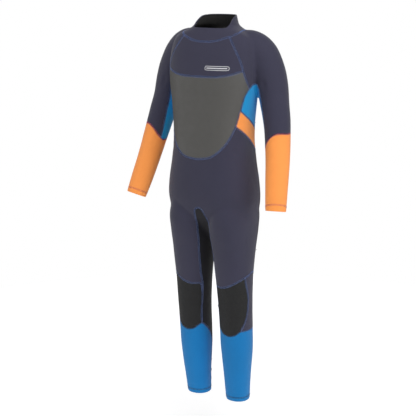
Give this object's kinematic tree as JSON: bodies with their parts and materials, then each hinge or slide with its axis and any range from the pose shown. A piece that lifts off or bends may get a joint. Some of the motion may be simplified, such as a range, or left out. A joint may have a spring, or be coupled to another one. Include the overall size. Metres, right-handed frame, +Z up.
{
  "type": "full wetsuit",
  "caption": "Child's full-length wetsuit in navy, blue and orange neoprene panels, with a back zip, storm flap and peel-open collar tab.",
  "frame": {"origin": "middle of the neck opening at the collar's top edge", "axes": "+Z up from the ankle hems to the collar, +X to the wearer's left, -Y to the wearer's front"},
  "size_m": [0.474, 0.1939, 1.0425],
  "materials": {
    "navy_jersey": "knitted nylon jersey on neoprene",
    "blue_jersey": "knitted nylon jersey on neoprene",
    "orange_jersey": "knitted nylon jersey on neoprene",
    "smooth_skin": "smooth-skin neoprene, matt",
    "knee_rubber": "abrasion-resistant rubberised fabric",
    "black_jersey": "black jersey",
    "zip_tape": "woven tape",
    "hook_and_loop": "hook and loop pile",
    "zip_teeth": "moulded plastic",
    "pull_rubber": "moulded, matt",
    "slider_metal": "enamelled zinc",
    "print": "heat-transfer print",
    "woven_label": "woven satin"
  },
  "bodies": {
    "root": {"collar": "navy_jersey", "chest_yoke": "navy_jersey", "front_body": "navy_jersey", "seat_panel": "navy_jersey", "sleeve_left": "navy_jersey", "sleeve_right": "navy_jersey", "upper_back_left": "navy_jersey", "upper_back_right": "navy_jersey", "calf_left": "navy_jersey", "calf_right": "navy_jersey", "side_panel_left": "blue_jersey", "side_panel_right": "blue_jersey", "lower_leg_left": "blue_jersey", "lower_leg_right": "blue_jersey", "forearm_left": "orange_jersey", "forearm_right": "orange_jersey", "waist_insert_left": "orange_jersey", "waist_insert_right": "orange_jersey", "chest_panel": "smooth_skin", "knee_pad_left": "knee_rubber", "knee_pad_right": "knee_rubber", "inner_leg_panel": "black_jersey", "storm_flap": "black_jersey", "zip_tape_left": "zip_tape", "zip_tape_right": "zip_tape", "loop_patch": "hook_and_loop", "zip_teeth_left": "zip_teeth", "zip_teeth_right": "zip_teeth", "top_stop_left": "slider_metal", "top_stop_right": "slider_metal", "bottom_stop": "slider_metal", "chest_badge": "print", "size_label": "woven_label", "care_label": "woven_label"},
    "slider": {"zip_slider": "slider_metal"},
    "puller": {"pull_tab": "pull_rubber"},
    "tab": {"collar_tab": "navy_jersey", "hook_patch": "hook_and_loop"}
  },
  "joints": [
    {"name": "zip_run", "type": "slide", "parent": "root", "child": "slider", "axis": [0, -0.044, 0.999], "range_m": [-0.358, 0]},
    {"name": "pull_swing", "type": "hinge", "parent": "slider", "child": "puller", "pos_m": [0, 0.06394, -0.04933], "axis": [1, 0, 0], "range_deg": [0, 150]},
    {"name": "tab_peel", "type": "hinge", "parent": "root", "child": "tab", "pos_m": [0.024, 0.0528, -0.00625], "axis": [0, 0.3629, -0.9318], "range_deg": [0, 85]}
  ]
}
